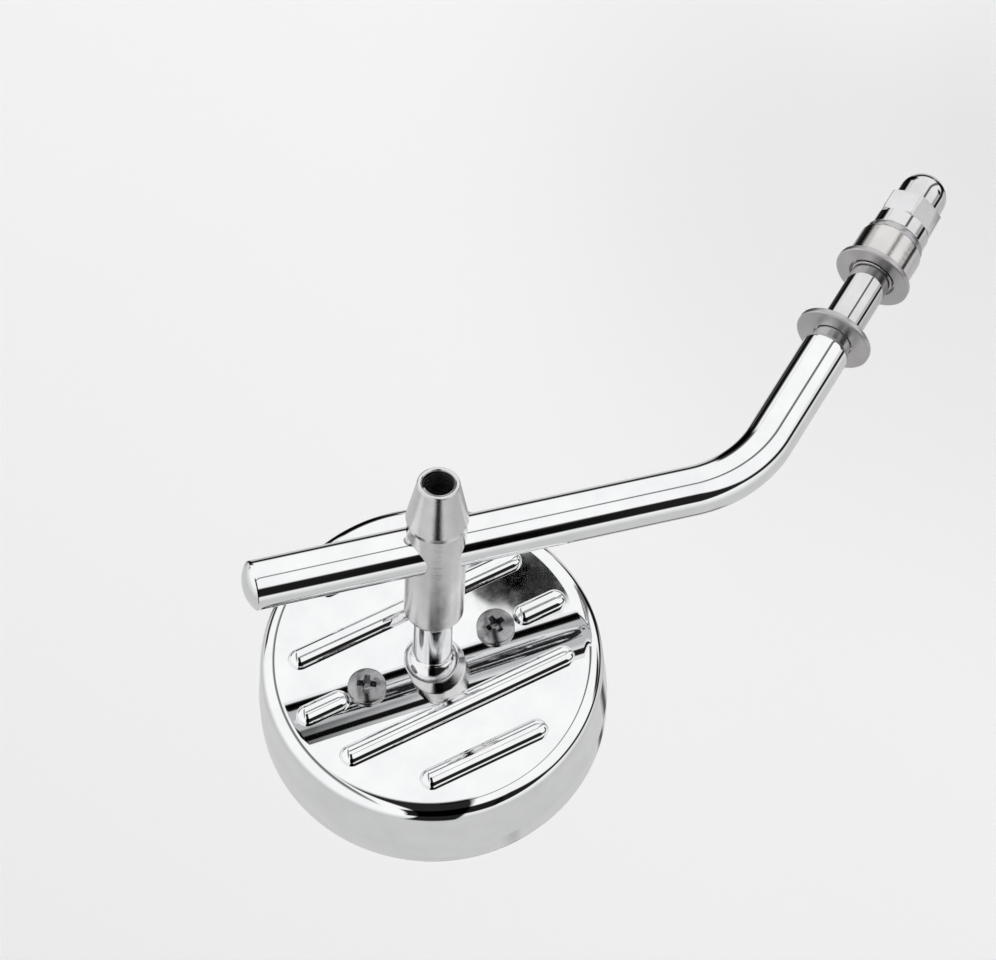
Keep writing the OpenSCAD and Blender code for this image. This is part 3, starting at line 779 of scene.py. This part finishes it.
# One pan-head screw at the origin, with a tapered cross recess
def screwBlank(s):
    rise = s["height"] - s["edge"]
    top = (s["head"] ** 2 + rise ** 2) / (2 * rise)
    reach = math.asin(s["head"] / top) * s["crown"]
    outline = [(0, -s["length"]), (s["shank"] - 0.4, -s["length"]), (s["shank"], -s["length"] + 0.5),
               (s["shank"], s["seat"])]
    outline += roundedOutline([(s["shank"], s["seat"], 0), (s["head"] - 0.1, s["seat"], 0.12),
                               (s["head"], s["edge"], 0.5),
                               (top * math.sin(reach), s["height"] - top + top * math.cos(reach), 0)])[1:]
    outline += [(top * math.sin(a), s["height"] - top + top * math.cos(a))
                for a in (reach * (1 - k / 16) for k in range(1, 17))]
    screw = turnedPiece("panScrew", outline, mm, screwPlate, steps=96)
    low, high = s["height"] - s["slotDeep"], s["height"] + 0.6
    for quarter in (0, math.pi / 2):
        bm = bmesh.new()
        rows = []
        for z, long, wide in ((low, s["slotFoot"], s["slot"] / 2 - s["draft"]),
                              (high, s["slotTop"], s["slot"] / 2 + s["draft"])):
            rows.append([bm.verts.new(mm @ turn(quarter, "Z") @ Vector((x * long, y * wide, z)))
                         for x, y in ((-1, -1), (1, -1), (1, 1), (-1, 1))])
        for row in rows:
            bm.faces.new(row)
        for k in range(4):
            bm.faces.new([rows[0][k - 1], rows[0][k], rows[1][k], rows[1][k - 1]])
        carve(screw, finishMesh(bm, "recessCut", None))
    narrow, wide = s["core"]
    core = turnedPiece("recessCore", [(0, low - 0.2), (narrow, low + 0.1), (wide, high), (0, high)], mm, steps=32)
    return carve(screw, core)


# Sets the screw on each point of the mesh, each turned on by one more step
def screwTree():
    tree, given, result, names = newTree("backScrews", {"Screw": "Object", "Lean": "Vector", "Step": "Float",
                                                        "Finish": "Material"})
    info, index, place, local, real, paint = geometryNodes(
        tree, "ObjectInfo", "InputIndex", "InstanceOnPoints", "RotateInstances", "RealizeInstances", "SetMaterial")
    twist, spin = tree.nodes.new("ShaderNodeMath"), tree.nodes.new("ShaderNodeCombineXYZ")
    twist.operation = "MULTIPLY"
    connect(tree, (
        (given["Screw"], info.inputs["Object"]), (given["Geometry"], place.inputs["Points"]),
        (info.outputs["Geometry"], place.inputs["Instance"]), (given["Lean"], place.inputs["Rotation"]),
        (index.outputs[0], twist.inputs[0]), (given["Step"], twist.inputs[1]), (twist.outputs[0], spin.inputs["Z"]),
        (place.outputs[0], local.inputs["Instances"]), (spin.outputs[0], local.inputs["Rotation"]),
        (local.outputs[0], real.inputs[0]), (real.outputs[0], paint.inputs["Geometry"]),
        (given["Finish"], paint.inputs["Material"]), (paint.outputs[0], result)))
    return tree, names


def makeScrews(s):
    blank = screwBlank(s)
    mesh = bpy.data.meshes.new("backScrews")
    mesh.from_pydata([backPlace @ Vector((side * s["pitch"] / 2, 0, 0)) for side in (1, -1)], [], [])
    tree, names = screwTree()
    lean = (backPlace @ mm.inverted() @ turn(math.radians(s["lean"]), "Z")).to_euler()
    screws = grown(newObject("backScrews", mesh), tree, names,
                   {"Screw": blank, "Lean": lean, "Step": math.radians(s["step"]), "Finish": screwPlate})
    bpy.data.objects.remove(blank, do_unlink=True)
    return screws


shell = makeShell(shellSizes)
ribs = makeRibs(ribSizes)
bezel = makeBezel(shellSizes, frontSizes)
gasket = makeGasket(shellSizes, frontSizes)
glass = makeGlass(shellSizes, frontSizes)
screws = makeScrews(screwSizes)
for piece, node, slotName in ((shell, "housing_pan", "chrome_housing"), (ribs, None, "chrome_housing"),
                              (bezel, "bezel_ring", "chrome_housing"), (gasket, "glass_gasket", "gasket_rubber"),
                              (glass, "mirror_glass", "mirror_glass"), (screws, "housing_screws", "screw_steel")):
    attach(piece, "head")
    if node:
        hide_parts(node)
print("housing and glass made")


# Hidden pieces keep their solids

hiddenFinishes = {"ball_seat": seatPlastic, "pressure_cap": plainSteel, "upper_disc_spring": lockSteel,
                  "lower_disc_spring": lockSteel, "retainer_plate": plainSteel, "backing_disc": plainSteel,
                  "glass_pad": padFoam}
for node, finish in hiddenFinishes.items():
    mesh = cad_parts[node].data
    mesh.materials.clear()
    mesh.materials.append(finish)


# Threads

threadSizes = {"stud": {"crest": rodSizes["stud"], "pitch": rodSizes["pitch"], "low": -46.2, "high": -19.6},
               "tapped": {"crest": 3.5, "pitch": 1.411, "low": 14.2, "high": 23.7},
               "screw": {"crest": 3.94, "pitch": 1.411, "low": 7.4, "high": 13.0}}
stepsPerTurn = 64


# One V-shaped ridge wound round Z, its crest outwards or turned inwards
def threadTree(steps):
    kinds = {label: "Float" for label in ("Radius", "Pitch", "Turns", "Ridge", "Crest turn")}
    tree, given, result, names = newTree("threadRidge", {**kinds, "Finish": "Material"})
    spiral, upright, section, turned, sweep, flat, real, paint = geometryNodes(
        tree, "CurveSpiral", "SetCurveNormal", "CurvePrimitiveCircle", "Transform", "CurveToMesh", "SetShadeSmooth",
        "RealizeInstances", "SetMaterial")
    rise, spin = tree.nodes.new("ShaderNodeMath"), tree.nodes.new("ShaderNodeCombineXYZ")
    rise.operation = "MULTIPLY"
    upright.mode = "Z_UP"
    spiral.inputs["Resolution"].default_value = steps
    section.inputs["Resolution"].default_value = 3
    sweep.inputs["Fill Caps"].default_value = True
    flat.inputs["Shade Smooth"].default_value = False
    connect(tree, (
        (given["Turns"], spiral.inputs["Rotations"]), (given["Radius"], spiral.inputs["Start Radius"]),
        (given["Radius"], spiral.inputs["End Radius"]), (given["Pitch"], rise.inputs[0]),
        (given["Turns"], rise.inputs[1]), (rise.outputs[0], spiral.inputs["Height"]),
        (spiral.outputs[0], upright.inputs["Curve"]), (given["Ridge"], section.inputs["Radius"]),
        (given["Crest turn"], spin.inputs["Z"]), (section.outputs[0], turned.inputs["Geometry"]),
        (spin.outputs[0], turned.inputs["Rotation"]), (upright.outputs[0], sweep.inputs["Curve"]),
        (turned.outputs[0], sweep.inputs["Profile Curve"]), (sweep.outputs[0], flat.inputs["Geometry"]),
        (flat.outputs[0], real.inputs[0]), (real.outputs[0], paint.inputs["Geometry"]),
        (given["Finish"], paint.inputs["Material"]), (paint.outputs[0], result)))
    return tree, names


threadNodes, threadInputs = threadTree(stepsPerTurn)


# crest is the radius that the thread reaches
def makeThread(name, s, place, finish, inward=False):
    ridge = s["pitch"] * 0.5
    middle = s["crest"] + ridge if inward else s["crest"] - ridge
    values = {"Radius": middle * 0.001, "Pitch": s["pitch"] * 0.001, "Ridge": ridge * 0.001,
              "Turns": (s["high"] - s["low"]) / s["pitch"], "Crest turn": math.pi if inward else 0.0,
              "Finish": finish}
    thread = grown(newObject(name, bpy.data.meshes.new(name)), threadNodes, threadInputs, values)
    thread.data.transform(place @ mm.inverted() @ Matrix.Translation((0, 0, s["low"] * 0.001)))
    return thread


studThread = makeThread("studThread", threadSizes["stud"], mm, plainSteel)
tapThread = makeThread("tappedThread", threadSizes["tapped"], postPlace, plainSteel, inward=True)
screwThread = makeThread("setScrewThread", threadSizes["screw"], postPlace, blackOxide)
for piece, body, slotName in ((studThread, "arm_body", "chrome_rod"), (tapThread, "post", "satin_post"),
                              (screwThread, "screw", "black_screw")):
    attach(piece, body)
print("threads made")


# Camera, floor and light

viewSizes = {"place": (-0.25714, -1.22881, 0.84877), "right": (-0.8796, -0.0702, -0.4705),
             "up": (0.4268, -0.5532, -0.7154), "focal": 5865.0, "photoWidth": 996.0,
             "sensor": 36, "near": 0.01, "far": 50}


def makeCamera(s):
    camera = newObject("camera", bpy.data.cameras.new("camera"))
    right = Vector(s["right"]).normalized()
    up = (Vector(s["up"]) - Vector(s["up"]).dot(right) * right).normalized()
    away = right.cross(up)
    camera.matrix_world = Matrix((
        (right.x, up.x, away.x, s["place"][0]), (right.y, up.y, away.y, s["place"][1]),
        (right.z, up.z, away.z, s["place"][2]), (0, 0, 0, 1)))
    camera.data.sensor_width = s["sensor"]
    camera.data.lens = s["focal"] / s["photoWidth"] * s["sensor"]
    camera.data.clip_start = s["near"]
    camera.data.clip_end = s["far"]
    bpy.context.scene.camera = camera
    return right, up, away


camRight, camUp, camBack = makeCamera(viewSizes)


# drop is how far the floor lies under the part, so that the fixings stay above it when they are drawn off
floorSizes = {"half": 6.0, "drop": 0.0565, "colour": (0.96, 0.96, 0.96, 1), "roughness": 0.9}


def makeFloor(s, lowest):
    mesh = bpy.data.meshes.new("floor")
    half, height = s["half"], lowest - s["drop"]
    corners = [(x * half, y * half, height) for x, y in ((-1, -1), (1, -1), (1, 1), (-1, 1))]
    mesh.from_pydata(corners, [], [(0, 1, 2, 3)])
    floor = newObject("floor", mesh)
    material, *_, shader = newMaterial("paleFloor")
    shader.inputs["Base Color"].default_value = s["colour"]
    shader.inputs["Roughness"].default_value = s["roughness"]
    mesh.materials.append(material)
    floor.visible_glossy = False      # bright metal shows the studio, not the floor's edge


makeFloor(floorSizes, cadBox[0][2])


# Dark flags round the studio, placed by the angle about one straight of the arm (0 faces the lens)
# and by the lean along it: (angles in degrees, leans, softness in degrees, level)
studioFlags = {
    "second": {"ribTop": ((-158, -104), (-0.14, 0.12), 4, 0.05), "main": ((20, 60), (-0.235, 0.5), 3, 0.012),
               "low": ((-30, 95), (0.03, 0.42), 5, 0.02), "topEdge": ((-140, -118), (-0.7, 0.7), 4, 0.03),
               "foot": ((139, 151), (-0.35, 0.0), 4, 0.1)},
    "first": {"left": ((-145, -95), (-0.75, -0.3), 5, 0.16)}}
# Long flags along great circles: (normal in the camera's axes, half widths in degrees where the flag
# starts and ends to the right, those two places, the range of right it covers, softness, level)
studioStripes = {
    "leftLine": ((0.876, 0.298, 0.379), (7, 7), (-1, 1), (-0.75, -0.38), 3, 0.2),
    "thinLine": ((-0.708, 0.674, -0.208), (2.0, 4.2), (0.25, 0.55), (0.0, 1.2), 1.2, 0.16),
    "darkStripe": ((0.035, 0.821, 0.569), (19, 6), (0.5, 0.85), (0.48, 1.2), 2.0, 0.015)}
# Round flags: (direction in the camera's axes, radius and softness in degrees, level)
studioSpots = {"rightPatch": ((0.94, 0.30, -0.06), 9, 3, 0.02),
               "backPatch": ((-0.0165, 0.7608, 0.6488), 0.3, 0.02, 0.02),
               "backPatchRight": ((-0.0109, 0.7600, 0.6499), 0.33, 0.02, 0.02)}
# The studio is brightest towards "bright" (camera's axes) and fades to the level behind over "fade".
# "seen" is what the camera sees behind the part
studioLevels = {"front": 1.08, "behind": 0.64, "seen": 1.0, "bright": (0, 0.6, 1), "fade": (-0.45, 0.0),
                "flagEdge": 0.015}


def makeWorld(flags, stripes, spots, levels):
    world = bpy.data.worlds.new("studio")
    bpy.context.scene.world = world
    world.use_nodes = True
    nodes, links = world.node_tree.nodes, world.node_tree.links
    nodes.clear()
    out = nodes.new("ShaderNodeOutputWorld")
    background = nodes.new("ShaderNodeBackground")
    background.inputs["Color"].default_value = (1, 1, 1, 1)
    coords = nodes.new("ShaderNodeTexCoord")

    def along(axis):
        node = nodes.new("ShaderNodeVectorMath")
        node.operation = "DOT_PRODUCT"
        node.inputs[1].default_value = axis
        links.new(coords.outputs["Generated"], node.inputs[0])
        return node.outputs["Value"]

    def maths(operation, a, b=None):
        node = nodes.new("ShaderNodeMath")
        node.operation = operation
        for i, v in enumerate((a, b)):
            if isinstance(v, (int, float)):
                node.inputs[i].default_value = v
            elif v is not None:
                links.new(v, node.inputs[i])
        return node.outputs[0]

    def band(value, low, high, soft):
        rise = ramp(nodes, links, value, low - soft, low + soft, 0, 1)
        fall = ramp(nodes, links, value, high - soft, high + soft, 1, 0)
        return maths("MULTIPLY", rise, fall)

    def darkened(level, mask, dark):
        return maths("MULTIPLY", level, ramp(nodes, links, mask, 0, 1, 1, dark))

    def turned(direction):
        right, up, back = direction
        return (right * camRight + up * camUp + back * camBack).normalized()

    level = ramp(nodes, links, along(turned(levels["bright"])), *levels["fade"], levels["behind"], levels["front"])
    for straight, axis in (("second", armDirection), ("first", Vector((0, 0, 1)))):
        towards = (camBack - camBack.dot(axis) * axis).normalized()
        across = axis.cross(towards)
        if across.dot(camUp) > 0:
            across = -across
        angle = maths("ARCTAN2", along(across), along(towards))
        lean = along(axis)
        for (low, high), (back, front), soft, dark in flags[straight].values():
            mask = maths("MULTIPLY", band(angle, math.radians(low), math.radians(high), math.radians(soft)),
                         band(lean, back, front, levels["flagEdge"]))
            level = darkened(level, mask, dark)
    right = along(camRight)
    for normal, (wide, narrow), (start, end), (low, high), soft, dark in stripes.values():
        away = maths("ARCSINE", maths("ABSOLUTE", along(turned(normal))))
        half = ramp(nodes, links, right, start, end, math.radians(wide), math.radians(narrow))
        edge = ramp(nodes, links, maths("SUBTRACT", away, half), -math.radians(soft), math.radians(soft), 1, 0)
        level = darkened(level, maths("MULTIPLY", edge, band(right, low, high, levels["flagEdge"])), dark)
    for direction, radius, soft, dark in spots.values():
        spot = ramp(nodes, links, maths("ARCCOSINE", along(turned(direction))), math.radians(radius - soft),
                    math.radians(radius + soft), 1, 0)
        level = darkened(level, spot, dark)
    path = nodes.new("ShaderNodeLightPath")
    mix = nodes.new("ShaderNodeMix")
    mix.data_type = "FLOAT"
    links.new(path.outputs["Is Camera Ray"], mix.inputs[0])
    links.new(level, mix.inputs[2])
    mix.inputs[3].default_value = levels["seen"]
    links.new(mix.outputs[0], background.inputs["Strength"])
    links.new(background.outputs[0], out.inputs[0])


makeWorld(studioFlags, studioStripes, studioSpots, studioLevels)


lampSizes = {"place": (0.25, -0.7, 2.3), "target": (0.05, 0.02, 0.05), "size": 2.2, "watts": 22}


def makeLamp(s):
    light = bpy.data.lights.new("softbox", "AREA")
    light.shape = "DISK"
    light.size = s["size"]
    light.energy = s["watts"]
    lamp = newObject("softbox", light)
    lamp.location = s["place"]
    lamp.rotation_euler = (Vector(s["target"]) - Vector(s["place"])).to_track_quat("-Z", "Y").to_euler()
    lamp.visible_glossy = False


makeLamp(lampSizes)
bpy.context.scene.view_settings.view_transform = "Standard"
print("stage made")
